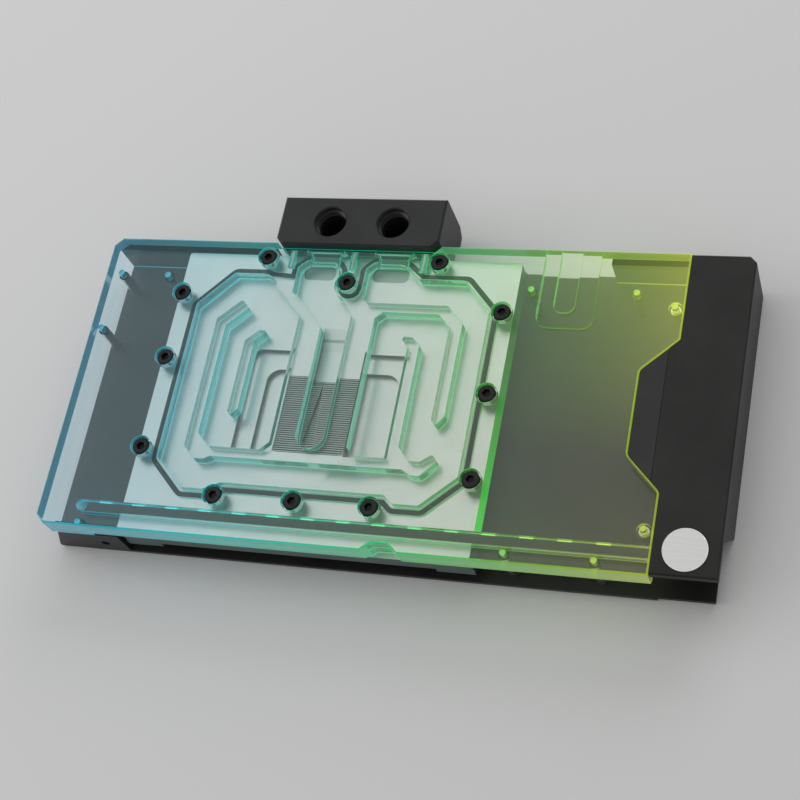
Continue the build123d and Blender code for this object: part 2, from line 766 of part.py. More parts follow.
# Backplate: a flat floor under the whole card
with BuildPart(level(0)) as backplate:
    with BuildSketch(level(0)):
        Rectangle(top_length, top_width, align=from_corner)
        with Locations((0, cover_low)):
            Rectangle(
                overall_length - cover_wall - floor_gap, cover_high - cover_wall - floor_gap - cover_low,
                align=from_corner,
            )
    extrude(amount=floor_thickness)
    chamfer(backplate.edges().group_by(Axis.Z)[0], floor_bevel)
    countersunk(
        screw_places + boss_places + core_places, small_head_radius + hole_gap, small_radius + hole_gap,
        floor_thickness, Mode.SUBTRACT,
    )
backplate.part.label = "backplate"
export_step(backplate.part, "parts/backplate.step")

# Flanges standing on the floor along the far edge, one on each side of the terminal
with BuildPart() as edge_flanges:
    with BuildSketch(level(floor_thickness)):
        with Locations((0, top_width)):
            Rectangle(flange_left_end, flange_thickness, align=(Align.MIN, Align.MAX))
        with Locations((flange_right_start, top_width)):
            Rectangle(top_length - flange_right_start, flange_thickness, align=(Align.MIN, Align.MAX))
    extrude(amount=top_back - floor_thickness)
edge_flanges.part.label = "edge_flanges"
export_step(edge_flanges.part, "parts/edge_flanges.step")

# Short flange at the near edge, with a screw post and the slot bracket's hole
with BuildPart() as bracket_flange:
    with BuildSketch(across(0)):
        with BuildLine():
            Polyline(
                (0, floor_thickness), (lower_flange_length, floor_thickness), (lower_flange_length, top_back),
                (lower_flange_slant, top_back),
                close=True,
            )
        make_face()
    extrude(amount=-lower_flange_thickness)
    add_circles(floor_thickness, [flange_post], post_radius + small_gap, top_back - floor_thickness)
    with BuildSketch(across(0)):
        with Locations(bracket_hole_place):
            Circle(bracket_hole_radius)
    extrude(amount=-lower_flange_thickness, mode=Mode.SUBTRACT)
    cut_circles(floor_thickness, [flange_post], small_radius + hole_gap, floor_thickness - top_back)
bracket_flange.part.label = "bracket_flange"
export_step(bracket_flange.part, "parts/bracket_flange.step")

# Hollow posts that hold the clear top above the backplate
with BuildPart() as standoffs:
    add_circles(floor_thickness, free_posts, post_radius, top_back - floor_thickness)
    cut_circles(floor_thickness, free_posts, small_radius + hole_gap, floor_thickness - top_back)
standoffs.part.label = "standoffs"
export_step(standoffs.part, "parts/standoffs.step")

# Screws from behind into the clear top, into the end cover's bosses and into the core posts
with BuildPart(level(0)) as backplate_screws:
    countersunk(screw_places, small_head_radius, small_radius, top_back + bite_depth, Mode.ADD)
backplate_screws.part.label = "backplate_screws"
export_step(backplate_screws.part, "parts/backplate_screws.step")

with BuildPart(level(0)) as end_cover_screws:
    countersunk(boss_places, small_head_radius, small_radius, cover_screw_length, Mode.ADD)
end_cover_screws.part.label = "end_cover_screws"
export_step(end_cover_screws.part, "parts/end_cover_screws.step")

with BuildPart(level(0)) as core_screws:
    countersunk(core_places, small_head_radius, small_radius, core_screw_top, Mode.ADD)
core_screws.part.label = "core_screws"
export_step(core_screws.part, "parts/core_screws.step")

# Threaded posts round the core, screwed into the cold plate's underside
with BuildPart() as core_standoffs:
    with BuildSketch(level(core_post_low)):
        with Locations(*core_places):
            RegularPolygon(core_post_radius, 6, major_radius=False)
    extrude(amount=plate_back - core_post_low)
    add_circles(plate_back, core_places, core_stub_radius, core_stub_length)
    bore_depth = core_screw_top - core_post_low + small_gap
    cut_circles(core_post_low, core_places, small_radius + thread_gap, -bore_depth)
core_standoffs.part.label = "core_standoffs"
export_step(core_standoffs.part, "parts/core_standoffs.step")

# Thermal pads: under the cold plate's islands and rails, and on the backplate's floor
with BuildPart() as memory_pads:
    with BuildSketch(level(plate_back - island_drop)):
        with Locations(*memory_places):
            Rectangle(*memory_pad)
    extrude(amount=-pad_thickness)
memory_pads.part.label = "memory_pads"
export_step(memory_pads.part, "parts/memory_pads.step")

with BuildPart() as power_pads:
    with BuildSketch(level(plate_back - island_drop)):
        with Locations(*power_places):
            Rectangle(*power_pad)
    extrude(amount=-pad_thickness)
power_pads.part.label = "power_pads"
export_step(power_pads.part, "parts/power_pads.step")

with BuildPart() as back_pads:
    with BuildSketch(level(floor_thickness)):
        with Locations(*memory_places):
            Rectangle(*back_pad)
    extrude(amount=pad_thickness)
back_pads.part.label = "back_pads"
export_step(back_pads.part, "parts/back_pads.step")

# Light bar, its board and the lamps on it, along the slot in the clear top's back
with BuildPart() as led_bar:
    with BuildSketch(level(top_back + small_gap)):
        with Locations((bar_left, slot_bar_low + bar_gap)):
            Rectangle(top_length - bar_left - bar_gap, bar_width, align=from_corner)
    extrude(amount=slot_bar_height - bar_gap - small_gap)
led_bar.part.label = "led_bar"
export_step(led_bar.part, "parts/led_bar.step")

with BuildPart() as led_board:
    with BuildSketch(level(top_back + small_gap)):
        with Locations((bar_left, slot_bar_low + bar_gap + bar_width)):
            Rectangle(top_length - bar_left - bar_gap, led_board_width, align=from_corner)
    extrude(amount=slot_bar_height - bar_gap - small_gap)
led_board.part.label = "led_board"
export_step(led_board.part, "parts/led_board.step")

with BuildPart() as leds:
    with BuildSketch(level(top_back + led_rise)):
        with Locations((led_first, slot_bar_low + bar_gap + bar_width + led_board_width)):
            with GridLocations(led_pitch, 0, led_count, 1, align=from_corner):
                Rectangle(led_size[0], led_size[1], align=from_corner)
    extrude(amount=led_size[2])
leds.part.label = "leds"
export_step(leds.part, "parts/leds.step")
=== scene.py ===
import json
import math

import bmesh
import bpy
from mathutils import Matrix, Vector


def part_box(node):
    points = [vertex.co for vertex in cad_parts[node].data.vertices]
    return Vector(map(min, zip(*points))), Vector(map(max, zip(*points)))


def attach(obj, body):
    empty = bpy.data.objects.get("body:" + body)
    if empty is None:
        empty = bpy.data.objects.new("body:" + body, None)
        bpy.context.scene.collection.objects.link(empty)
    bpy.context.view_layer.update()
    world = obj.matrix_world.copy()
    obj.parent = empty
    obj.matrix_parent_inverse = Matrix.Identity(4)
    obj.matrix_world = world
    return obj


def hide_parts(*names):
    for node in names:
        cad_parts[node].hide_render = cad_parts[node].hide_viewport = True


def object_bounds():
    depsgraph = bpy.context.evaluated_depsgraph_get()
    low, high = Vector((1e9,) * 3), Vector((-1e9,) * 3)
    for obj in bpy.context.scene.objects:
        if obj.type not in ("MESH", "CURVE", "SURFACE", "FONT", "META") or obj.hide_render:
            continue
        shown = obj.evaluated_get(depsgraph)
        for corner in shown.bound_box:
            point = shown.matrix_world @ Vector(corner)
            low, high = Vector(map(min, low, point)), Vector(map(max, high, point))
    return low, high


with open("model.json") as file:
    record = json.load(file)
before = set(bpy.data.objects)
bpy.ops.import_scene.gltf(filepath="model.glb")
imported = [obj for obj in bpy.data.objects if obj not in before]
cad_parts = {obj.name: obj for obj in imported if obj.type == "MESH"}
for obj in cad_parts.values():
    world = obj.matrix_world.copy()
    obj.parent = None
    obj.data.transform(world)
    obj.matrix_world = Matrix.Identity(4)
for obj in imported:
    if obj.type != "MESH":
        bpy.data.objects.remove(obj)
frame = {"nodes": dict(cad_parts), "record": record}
cad_low, cad_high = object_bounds()

MM = 0.001
UP = Vector((0, 0, 1))
BACK = Vector((0, 1, 0))
SMOOTH_ANGLE = math.radians(28)

# Camera of the photograph, worked out from the clear top's corners
IMAGE_PIXELS = 800
FOCAL_PIXELS = 1724.8
SENSOR_MM = 36.0
CAMERA_PLACE = Vector((0.21557, -0.26929, 0.58318))
CAMERA_RIGHT = Vector((0.9447, 0.1877, -0.2688))
CAMERA_FORWARD = Vector((-0.3232, 0.3958, -0.8596))

# Lamps: name, place and size in metres, power in watts
LAMPS = [
    ("softbox", (-0.46, 0.52, 1.15), (1.4, 1.3), 2.8),
    ("left_fill", (-1.6, -0.1, 0.8), (1.2, 0.8), 7.5),
    ("back_fill", (0.4, 1.6, 0.9), (1.2, 0.8), 7.5),
]
FLOOR_SIZE = 6.0
FLOOR_COLOUR = (0.80, 0.80, 0.80, 1)
ROOM_COLOUR = (0.77, 0.77, 0.77, 1)
ROOM_STRENGTH = 0.5

# Places on the block where its looks change
TOP_LOW, TOP_HIGH = (Vector(corner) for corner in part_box("acrylic_top"))
TOP_CENTRE, TOP_HALF = (TOP_LOW + TOP_HIGH) / 2, (TOP_HIGH - TOP_LOW) / 2
PLATE_LOW, PLATE_HIGH = (Vector(corner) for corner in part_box("cold_plate"))
FLANGE_LOW = Vector(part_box("edge_flanges")[0])
TERMINAL_TOP = Vector(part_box("terminal_block")[1]).z
CHANNEL_ROOF = TOP_LOW.z + 5.0 * MM
POCKET_END_Y = TOP_LOW.y + 121.6 * MM
SLOT_END_Y = TOP_LOW.y + 11.5 * MM
FIN_LOW, FIN_HIGH = Vector((-0.04335, -0.0348)), Vector((-0.01415, -0.0024))
HOLLOW_FLOOR = TOP_LOW.z - 1.3 * MM
FIN_ROOTS = TOP_LOW.z - 4.1 * MM
LEVEL_REACH = 0.15 * MM
OUTER_WALL = 2.0 * MM
END_WALL = 0.5 * MM

# Colours along the card, from the open end at 0 to the end cover at 1
GLOW_STOPS = [
    (0.0, (0.02, 0.42, 0.62)), (0.25, (0.02, 0.60, 0.62)), (0.45, (0.03, 0.66, 0.42)),
    (0.66, (0.06, 0.68, 0.12)), (0.85, (0.34, 0.68, 0.04)), (1.0, (0.62, 0.72, 0.06)),
]
# Tint of the clear top, painted in the colour of the glow along the card
GLOW_TINT_STOPS = [
    (0.0, (0.80, 0.94, 0.98)), (0.3, (0.90, 0.98, 0.98)), (0.55, (0.96, 0.99, 0.97)),
    (0.75, (0.95, 0.99, 0.93)), (1.0, (0.95, 0.97, 0.80)),
]
# Painted shade and glow colour of the clear top's walls, highlight lines and bevels
WALL_SHADE_STOPS = [
    (0.0, (0.01, 0.24, 0.34)), (0.25, (0.02, 0.44, 0.44)), (0.45, (0.03, 0.48, 0.36)),
    (0.66, (0.05, 0.50, 0.14)), (0.85, (0.18, 0.46, 0.03)), (1.0, (0.30, 0.48, 0.04)),
]

# Painted light in the clear top: glow in its walls and faces, painted highlight lines at its rims
# and bevels. A pair holds the value at an outer wall and at one inside
LINE_WIDTH = 0.9 * MM
LINE_LIGHT = (0.26, 0.50)
BODY_LIGHT = (0.16, 0.05)
# Cloudiness takes transmission away so the painted wall colour shows; at the lines and bevels it
# carries their painted highlights
CLOUDINESS = (0.50, 0.28)
LINE_CLOUDINESS = 0.60
BEVEL_LIGHT = 0.28
BEVEL_CLOUDINESS = 0.6
FACE_GLOW = 0.008
OPEN_END_GLOW = 0.016
FAR_CORNER_GLOW = 0.18
NEAR_EDGE_GLOW = 0.02
POST_LIGHT = 0.75
FOOT_LIGHT = 0.8

# Painted shade on the plate's walls, fins, port hollows and fin roots: its colour and each one's
# share of it
PAINTED_SHADE_COLOUR = (0.07, 0.13, 0.115, 1)
SHADE_ON_WALLS, SHADE_ON_FINS, SHADE_ON_HOLLOWS, SHADE_ON_ROOTS = 0.9, 0.55, 0.5, 0.85

# Screws: metric threads with hexagon sockets
TURN_SEGMENTS = 72
KNURLS = 24
KNURL_DEPTH = 0.11 * MM
THREAD_PITCH = 0.7 * MM
THREAD_DEPTH = 0.3 * MM
TIP_SHARE = 0.8
RIM_BEVEL = 0.3 * MM
MOUTH_BEVEL = 0.12 * MM
DRILL_DEPTH = 0.25 * MM
DRILL_SHARE = 0.35
SOCKET_DEPTH = 2.0 * MM
FINE_SOCKET_DEPTH = 0.9 * MM
CLAMP_SOCKET, TERMINAL_SOCKET, FINE_SOCKET = 1.5 * MM, 1.25 * MM, 0.75 * MM

# Quarter inch pipe thread in the front ports
PORT_PITCH = 1.337 * MM
PORT_THREAD_DEPTH = 0.75 * MM
PORT_THREAD_START = 0.9 * MM
PORT_THREAD_LENGTH = 6.2 * MM
PORT_STEPS = 96
RIDGE_SINK = 0.03 * MM
RIDGE_FOOT, RIDGE_CREST = 0.46, 0.07
RIDGE_LEAST = 0.05

# Section of the badge's bevel in millimetres, outward from its edge and up from its face
RIM_SEGMENTS = 160
RIM_SECTION = [
    (-0.30, -0.14), (-0.06, -0.14), (-0.02, 0.0), (-0.10, 0.07), (-0.26, 0.07), (-0.34, 0.0),
]


class Shader:
    """A material's node tree, with one Principled shader, built a node at a time."""

    def __init__(self, name, **settings):
        self.material = bpy.data.materials.new(name)
        self.material.use_nodes = True
        self.tree = self.material.node_tree
        self.tree.nodes.clear()
        self.surface = self.tree.nodes.new("ShaderNodeBsdfPrincipled")
        self.output = self.tree.nodes.new("ShaderNodeOutputMaterial")
        self.link(self.surface.outputs["BSDF"], self.output.inputs["Surface"])
        self.set(**settings)

    def link(self, source, target):
        self.tree.links.new(source, target)

    def feed(self, value, socket):
        if isinstance(value, bpy.types.NodeSocket):
            self.link(value, socket)
        else:
            socket.default_value = value

    def set(self, **inputs):
        for key, value in inputs.items():
            self.feed(value, self.surface.inputs[key.replace("_", " ")])

    def node(self, kind, inputs=None, **settings):
        made = self.tree.nodes.new("ShaderNode" + kind)
        for key, value in settings.items():
            setattr(made, key, value)
        for key, value in (inputs or {}).items():
            self.feed(value, made.inputs[key])
        return made

    def maths(self, operation, first, second=0.0, third=0.0, clamp=False):
        made = self.node("Math", operation=operation, use_clamp=clamp)
        for socket, value in zip(made.inputs, (first, second, third)):
            self.feed(value, socket)
        return made.outputs["Value"]

    def product(self, first, *others):
        for other in others:
            first = self.maths("MULTIPLY", first, other)
        return first

    def largest(self, first, *others):
        for other in others:
            first = self.maths("MAXIMUM", first, other)
        return first

    def place(self):
        """Position on the object in metres."""
        return self.node("TexCoord").outputs["Object"]

    def place_parts(self):
        """X, Y and Z of the position."""
        return self.node("SeparateXYZ", {"Vector": self.place()}).outputs

    def stretched(self, scale):
        """Position scaled differently along each axis, for grain."""
        return self.node("Mapping", {"Vector": self.place(), "Scale": scale}).outputs["Vector"]

    def levelness(self):
        """How level a surface lies, 0 on a wall and 1 on a face that looks up or down."""
        normal = self.node("NewGeometry").outputs["True Normal"]
        return self.maths("ABSOLUTE", self.node("SeparateXYZ", {"Vector": normal}).outputs["Z"])

    def noise(self, scale, detail=3.0, roughness=0.5, vector=None):
        made = self.node("TexNoise", {"Scale": scale, "Detail": detail, "Roughness": roughness})
        self.link(vector or self.place(), made.inputs["Vector"])
        return made.outputs["Fac"]

    def spread(self, value, low, high, new_low, new_high):
        """A value carried from one range to another, held at its ends."""
        made = self.node("MapRange", {
            "Value": value, "From Min": low, "From Max": high,
            "To Min": new_low, "To Max": new_high,
        })
        return made.outputs["Result"]

    def blend(self, share, at_none, at_full):
        """A value going from one to another as a share goes from 0 to 1."""
        return self.maths("MULTIPLY_ADD", share, at_full - at_none, at_none)

    def within(self, value, low, high):
        """1 between two limits and 0 outside them."""
        return self.product(
            self.maths("GREATER_THAN", value, low), self.maths("LESS_THAN", value, high))

    def ramp(self, value, stops):
        made = self.node("ValToRGB", {"Fac": value})
        elements = made.color_ramp.elements
        elements[0].position, elements[0].color = stops[0][0], (*stops[0][1], 1)
        elements[1].position, elements[1].color = stops[-1][0], (*stops[-1][1], 1)
        for position, colour in stops[1:-1]:
            elements.new(position).color = (*colour, 1)
        return made.outputs["Color"]

    def mixed(self, share, first, second):
        """A colour going from the first to the second as a share goes from 0 to 1."""
        made = self.node("Mix", data_type="RGBA")
        self.feed(share, made.inputs["Factor"])
        first_colour, second_colour = [slot for slot in made.inputs if slot.type == "RGBA"]
        self.feed(first, first_colour)
        self.feed(second, second_colour)
        return next(slot for slot in made.outputs if slot.type == "RGBA")

    def bump(self, height, strength, distance):
        made = self.node("Bump", {"Height": height, "Strength": strength, "Distance": distance})
        self.link(made.outputs["Normal"], self.surface.inputs["Normal"])


def card_share(shader):
    """How far along the card a point lies, 0 at the open end and 1 at the end cover."""
    return shader.spread(shader.place_parts()["X"], TOP_LOW.x, TOP_HIGH.x, 0.0, 1.0)


def distance_from(shader, value, middle):
    return shader.maths("ABSOLUTE", shader.maths("SUBTRACT", value, middle))


def lit_level(shader, height, level):
    """1 at a level, fading to 0 a little above and below it."""
    return shader.spread(distance_from(shader, height, level), 0.0, LINE_WIDTH, 1.0, 0.0)


def lit_lines(shader, parts, inside):
    """The walls' rims and the channel roof's corners, where the light leaves the clear top."""
    rims = shader.largest(
        lit_level(shader, parts["Z"], TOP_LOW.z), lit_level(shader, parts["Z"], TOP_HIGH.z))
    roof = shader.product(
        lit_level(shader, parts["Z"], CHANNEL_ROOF), inside,
        shader.maths("LESS_THAN", parts["Y"], POCKET_END_Y),
    )
    return shader.largest(rims, roof)


def painted_face_glow(shader, parts, share, off_y):
    """Painted glow in the level faces, strongest at the far corner beside the end cover."""
    near_edge = shader.maths("POWER", shader.maths("DIVIDE", off_y, TOP_HALF.y), 4.0)
    far_corner = shader.product(
        shader.maths("POWER", share, 4.0),
        shader.spread(parts["Y"], TOP_CENTRE.y - 20 * MM, TOP_HIGH.y, 0.0, 1.0),
    )
    open_end = shader.maths("POWER", shader.maths("SUBTRACT", 1.0, share), 2.0)
    face_light = shader.maths("MULTIPLY_ADD", open_end, OPEN_END_GLOW, FACE_GLOW)
    face_light = shader.maths("MULTIPLY_ADD", far_corner, FAR_CORNER_GLOW, face_light)
    return shader.maths("MULTIPLY_ADD", near_edge, NEAR_EDGE_GLOW, face_light)


def clear_acrylic():
    """Acrylic with painted glow, as if lit through its edges: cyan, then green, then yellow-green at
    the end cover, with painted highlight lines and painted shade on its walls.
    """
    shader = Shader("clear_acrylic", IOR=1.49)
    share = card_share(shader)
    parts = shader.place_parts()
    levelness = shader.levelness()
    wall = shader.spread(levelness, 0.35, 0.75, 1.0, 0.0)
    bevel = shader.within(levelness, 0.6, 0.8)
    off_x = distance_from(shader, parts["X"], TOP_CENTRE.x)
    off_y = distance_from(shader, parts["Y"], TOP_CENTRE.y)
    inside = shader.product(
        shader.maths("LESS_THAN", off_x, TOP_HALF.x - OUTER_WALL),
        shader.maths("LESS_THAN", off_y, TOP_HALF.y - OUTER_WALL),
    )
    lines = lit_lines(shader, parts, inside)

    # Painted glow: highlight lines, walls, level faces and bevels give off light
    line_light = shader.product(lines, shader.blend(inside, *LINE_LIGHT))
    wall_light = shader.maths("ADD", line_light, shader.blend(inside, *BODY_LIGHT))
    face_share = shader.maths("SUBTRACT", 1.0, wall)
    light = shader.maths(
        "ADD", shader.product(wall, wall_light),
        shader.product(face_share, painted_face_glow(shader, parts, share, off_y)),
    )
    light = shader.maths("MULTIPLY_ADD", bevel, BEVEL_LIGHT, light)

    clouded = shader.maths(
        "MULTIPLY_ADD", lines, LINE_CLOUDINESS, shader.blend(inside, *CLOUDINESS), clamp=True)
    clouded = shader.largest(
        shader.product(wall, clouded), shader.product(bevel, BEVEL_CLOUDINESS))
    # Painted shade and glow colour on the walls, highlight lines and bevels
    painted_wall_share = shader.largest(shader.product(wall, shader.blend(lines, 0.6, 1.0)), bevel)
    shader.set(
        Base_Color=shader.mixed(
            painted_wall_share, shader.ramp(share, GLOW_TINT_STOPS), shader.ramp(share, WALL_SHADE_STOPS)),
        Emission_Color=shader.ramp(share, GLOW_STOPS),
        Emission_Strength=light,
        Transmission_Weight=shader.maths("SUBTRACT", 1.0, clouded),
        Roughness=shader.blend(wall, 0.03, 0.15),
    )
    return shader.material


def satin_nickel():
    """Nickel with a fine grain along the card, with painted shade on its walls, fins, port hollows
    and fin roots and a painted green glow on its far end wall.
    """
    shader = Shader("satin_nickel", Metallic=1.0)
    grain = shader.noise(1.0, 4.0, 0.6, shader.stretched((60, 6000, 60)))
    unshaded_tone = shader.ramp(
        shader.noise(40.0, 3.0), [(0.3, (0.75, 0.75, 0.75)), (0.7, (0.81, 0.81, 0.80))])
    wall = shader.spread(shader.levelness(), 0.3, 0.8, 1.0, 0.0)
    parts = shader.place_parts()
    in_fins = shader.product(
        shader.within(parts["X"], FIN_LOW.x, FIN_HIGH.x),
        shader.within(parts["Y"], FIN_LOW.y, FIN_HIGH.y),
    )
    hollow = shader.within(parts["Z"], HOLLOW_FLOOR - LEVEL_REACH, HOLLOW_FLOOR + LEVEL_REACH)
    roots = shader.within(parts["Z"], FIN_ROOTS - LEVEL_REACH, FIN_ROOTS + LEVEL_REACH)
    # Painted shade: the walls, fins, port hollows and fin roots get the dark colour
    painted_shade = shader.largest(
        shader.product(wall, SHADE_ON_WALLS), shader.product(in_fins, SHADE_ON_FINS),
        shader.product(hollow, SHADE_ON_HOLLOWS), shader.product(roots, SHADE_ON_ROOTS),
    )
    end_wall = shader.maths("GREATER_THAN", parts["X"], PLATE_HIGH.x - END_WALL)
    towards_slot = shader.maths(
        "POWER", shader.spread(parts["Y"], PLATE_LOW.y, PLATE_HIGH.y, 1.0, 0.0), 1.5)
    past_slot = shader.maths("GREATER_THAN", parts["Y"], SLOT_END_Y)
    shader.set(
        Base_Color=shader.mixed(painted_shade, unshaded_tone, PAINTED_SHADE_COLOUR),
        Roughness=shader.spread(grain, 0.3, 0.7, 0.34, 0.46),
        # Painted glow: green light on the far end wall, strongest towards the light slot
        Emission_Color=(0.03, 0.60, 0.03, 1),
        Emission_Strength=shader.product(end_wall, wall, towards_slot, past_slot),
    )
    shader.bump(grain, 0.08, 0.00002)
    return shader.material


def dark_surface(name, colour, roughness, metallic=0.0, grain=0.15, specular=0.5, uneven=0.06):
    """A finish with faint patches and, unless its grain is 0, a fine even grain."""
    shader = Shader(name, Metallic=metallic, Specular_IOR_Level=specular)
    speckle = shader.noise(9000.0, 2.0, 0.6)
    patches = shader.noise(60.0, 4.0)
    lighter = tuple(min(1.0, channel * 1.35 + 0.002) for channel in colour)
    shader.set(
        Base_Color=shader.ramp(patches, [(0.35, colour), (0.7, lighter)]),
        Roughness=shader.spread(speckle, 0.3, 0.7, roughness - uneven, roughness + uneven),
    )
    if grain:
        shader.bump(speckle, grain, 0.00003)
    return shader.material


def brushed_badge():
    """Bright aluminium brushed in one direction."""
    shader = Shader("brushed_badge", Metallic=0.75)
    strokes = shader.noise(1.0, 5.0, 0.6, shader.stretched((120, 5200, 120)))
    shader.set(
        Base_Color=shader.ramp(strokes, [(0.3, (0.70, 0.71, 0.69)), (0.7, (0.84, 0.85, 0.82))]),
        Roughness=shader.spread(strokes, 0.3, 0.7, 0.34, 0.46),
    )
    shader.bump(strokes, 0.06, 0.00001)
    return shader.material


def thermal_pad():
    """Soft grey-blue pad with a slightly crumbly surface."""
    shader = Shader("thermal_pad")
    crumbs = shader.noise(2500.0, 3.0, 0.6)
    shader.set(
        Base_Color=shader.ramp(crumbs, [(0.3, (0.30, 0.34, 0.40)), (0.7, (0.42, 0.46, 0.52))]),
        Roughness=shader.spread(crumbs, 0.3, 0.7, 0.75, 0.9),
    )
    shader.bump(crumbs, 0.4, 0.0001)
    return shader.material


def lit_screw():
    """Black screw whose tip picks up the light of the clear top round it."""
    shader = Shader("lit_screw", Metallic=0.6)
    speckle = shader.noise(3000.0, 2.0, 0.6)
    in_top = shader.maths("GREATER_THAN", shader.place_parts()["Z"], TOP_LOW.z)
    shader.set(
        Base_Color=shader.ramp(
            speckle, [(0.3, (0.014, 0.014, 0.015)), (0.7, (0.020, 0.020, 0.021))]),
        Roughness=shader.spread(speckle, 0.3, 0.7, 0.28, 0.38),
        Emission_Color=shader.ramp(card_share(shader), GLOW_STOPS),
        Emission_Strength=shader.product(in_top, POST_LIGHT),
    )
    return shader.material


def lit_flange():
    """Anodised flange whose inner foot catches the light of the clear top above it."""
    shader = Shader("lit_flange", Specular_IOR_Level=0.4)
    patches = shader.noise(60.0, 4.0)
    parts = shader.place_parts()
    foot = shader.spread(parts["Z"], FLANGE_LOW.z, FLANGE_LOW.z + LINE_WIDTH, 1.0, 0.0)
    inner = shader.maths("LESS_THAN", parts["Y"], FLANGE_LOW.y + LEVEL_REACH)
    shader.set(
        Base_Color=shader.ramp(
            patches, [(0.35, (0.012, 0.012, 0.012)), (0.7, (0.018, 0.018, 0.018))]),
        Roughness=shader.spread(patches, 0.3, 0.7, 0.42, 0.46),
        Emission_Color=shader.ramp(card_share(shader), GLOW_STOPS),
        Emission_Strength=shader.product(foot, inner, FOOT_LIGHT),
    )
    return shader.material


def led_lens():
    """Lamp body, lit in the colour of its place along the card."""
    shader = Shader("led_lens", Roughness=0.3, Base_Color=(0.85, 0.86, 0.82, 1))
    shader.set(Emission_Color=shader.ramp(card_share(shader), GLOW_STOPS), Emission_Strength=1.0)
    return shader.material


ACRYLIC = clear_acrylic()
NICKEL = satin_nickel()
BLACK_OXIDE = dark_surface("black_oxide", (0.016, 0.016, 0.017), 0.34, metallic=0.6)
LIT_SCREW = lit_screw()
PLATED_STEEL = dark_surface("plated_steel", (0.70, 0.71, 0.70), 0.30, metallic=1.0)
ACETAL = dark_surface("black_acetal", (0.015, 0.016, 0.016), 0.42, specular=0.4)
RUBBER = dark_surface("black_rubber", (0.007, 0.008, 0.008), 0.62, specular=0.2)
COVER_BLACK = dark_surface("cover_black", (0.015, 0.015, 0.014), 0.48, specular=0.3)
ANODISED = dark_surface(
    "black_anodised", (0.012, 0.012, 0.012), 0.44, grain=0, specular=0.4, uneven=0.01)
LIT_FLANGE = lit_flange()
DARK_PLASTIC = dark_surface("dark_plastic", (0.026, 0.026, 0.026), 0.50, specular=0.3)
BOARD = dark_surface("circuit_board", (0.015, 0.024, 0.022), 0.35)
BRASS = dark_surface("plated_brass", (0.62, 0.60, 0.56), 0.25, metallic=1.0)
BADGE = brushed_badge()
RIM = dark_surface(
    "polished_rim", (0.84, 0.85, 0.84), 0.16, metallic=1.0, grain=0.02, uneven=0.04)
PAD = thermal_pad()
LED = led_lens()

FINISHES = {
    "acrylic_top": ACRYLIC,
    "cold_plate": NICKEL,
    "terminal_block": ACETAL,
    "end_cover": COVER_BLACK,
    "backplate": ANODISED,
    "edge_flanges": LIT_FLANGE,
    "bracket_flange": ANODISED,
    "badge": BADGE,
    "accent_strip": DARK_PLASTIC,
    "led_bar": DARK_PLASTIC,
    "led_board": BOARD,
    "leds": LED,
    "main_gasket": RUBBER,
    "terminal_gaskets": RUBBER,
    "plug_o_rings": RUBBER,
    "rear_port_plugs": BLACK_OXIDE,
    "clamp_screws": BLACK_OXIDE,
    "terminal_screws": BLACK_OXIDE,
    "end_cover_screws": BLACK_OXIDE,
    "backplate_screws": BLACK_OXIDE,
    "core_screws": BLACK_OXIDE,
    "standoffs": BRASS,
    "core_standoffs": BRASS,
    "memory_pads": PAD,
    "power_pads": PAD,
    "back_pads": PAD,
}


def soften(piece):
    """Smooth curves and crisp edges."""
    for polygon in piece.data.polygons:
        polygon.use_smooth = True
    split = piece.modifiers.new("crisp_edges", "EDGE_SPLIT")
    split.split_angle = SMOOTH_ANGLE


def finish_nodes():
    """Gives each CAD node its material, smooth curves and crisp edges."""
    for name, node in frame["nodes"].items():
        for slot in node.material_slots:
            slot.material = FINISHES[name]
        soften(node)


def finished(mesh, name, material, slot, *replaced):
    """An object made of the mesh, with its finish, riding on the block."""
    data = bpy.data.meshes.new(name)
    mesh.to_mesh(data)
    mesh.free()
    data.materials.append(material)
    piece = bpy.data.objects.new(name, data)
    bpy.context.collection.objects.link(piece)
    soften(piece)
    if replaced:
        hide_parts(*replaced)
    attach(piece, "root")


def join(mesh, loops, closed=False):
    """Faces between each loop of points and the next, back to the first if closed."""
    for first, second in zip(loops, loops[1:] + loops[:1] if closed else loops[1:]):
        for side in range(len(first)):
            after = (side + 1) % len(first)
            mesh.faces.new((first[side], first[after], second[after], second[side]))


def cap(mesh, loops):
    """Faces over the first and the last loop."""
    mesh.faces.new(list(reversed(loops[0])))
    mesh.faces.new(loops[-1])


def turned(mesh, place, rings):
    """Adds a closed body turned about Z. A ring is a height and a radius, or radius by angle."""
    loops = []
    for height, radius in rings:
        loop = []
        for step in range(TURN_SEGMENTS):
            angle = math.tau * step / TURN_SEGMENTS
            reach = radius(angle) if callable(radius) else radius
            point = Vector((reach * math.cos(angle), reach * math.sin(angle), height))
            loop.append(mesh.verts.new(place @ point))
        loops.append(loop)
    join(mesh, loops)
    cap(mesh, loops)


def hexagon(half_width):
    """Radius by angle of a hexagon with this distance from its centre to its flats."""
    return lambda angle: half_width / math.cos((angle % (math.tau / 6)) - math.tau / 12)


def knurled(radius):
    """Radius by angle of a head with a straight knurl."""
    return lambda angle: radius - KNURL_DEPTH * (0.5 + 0.5 * math.cos(KNURLS * angle))


def shank_rings(tip, end, radius):
    """Rings of a pointed end and a run of thread up to the head."""
    root = radius - THREAD_DEPTH
    turns = int((end - tip) / THREAD_PITCH)
    rings = [(tip, root * TIP_SHARE), (tip + THREAD_PITCH / 3, root)]
    for turn in range(1, turns):
        crest = tip + turn * THREAD_PITCH
        rings += [(crest, radius), (crest + THREAD_PITCH / 2, root)]
    return rings


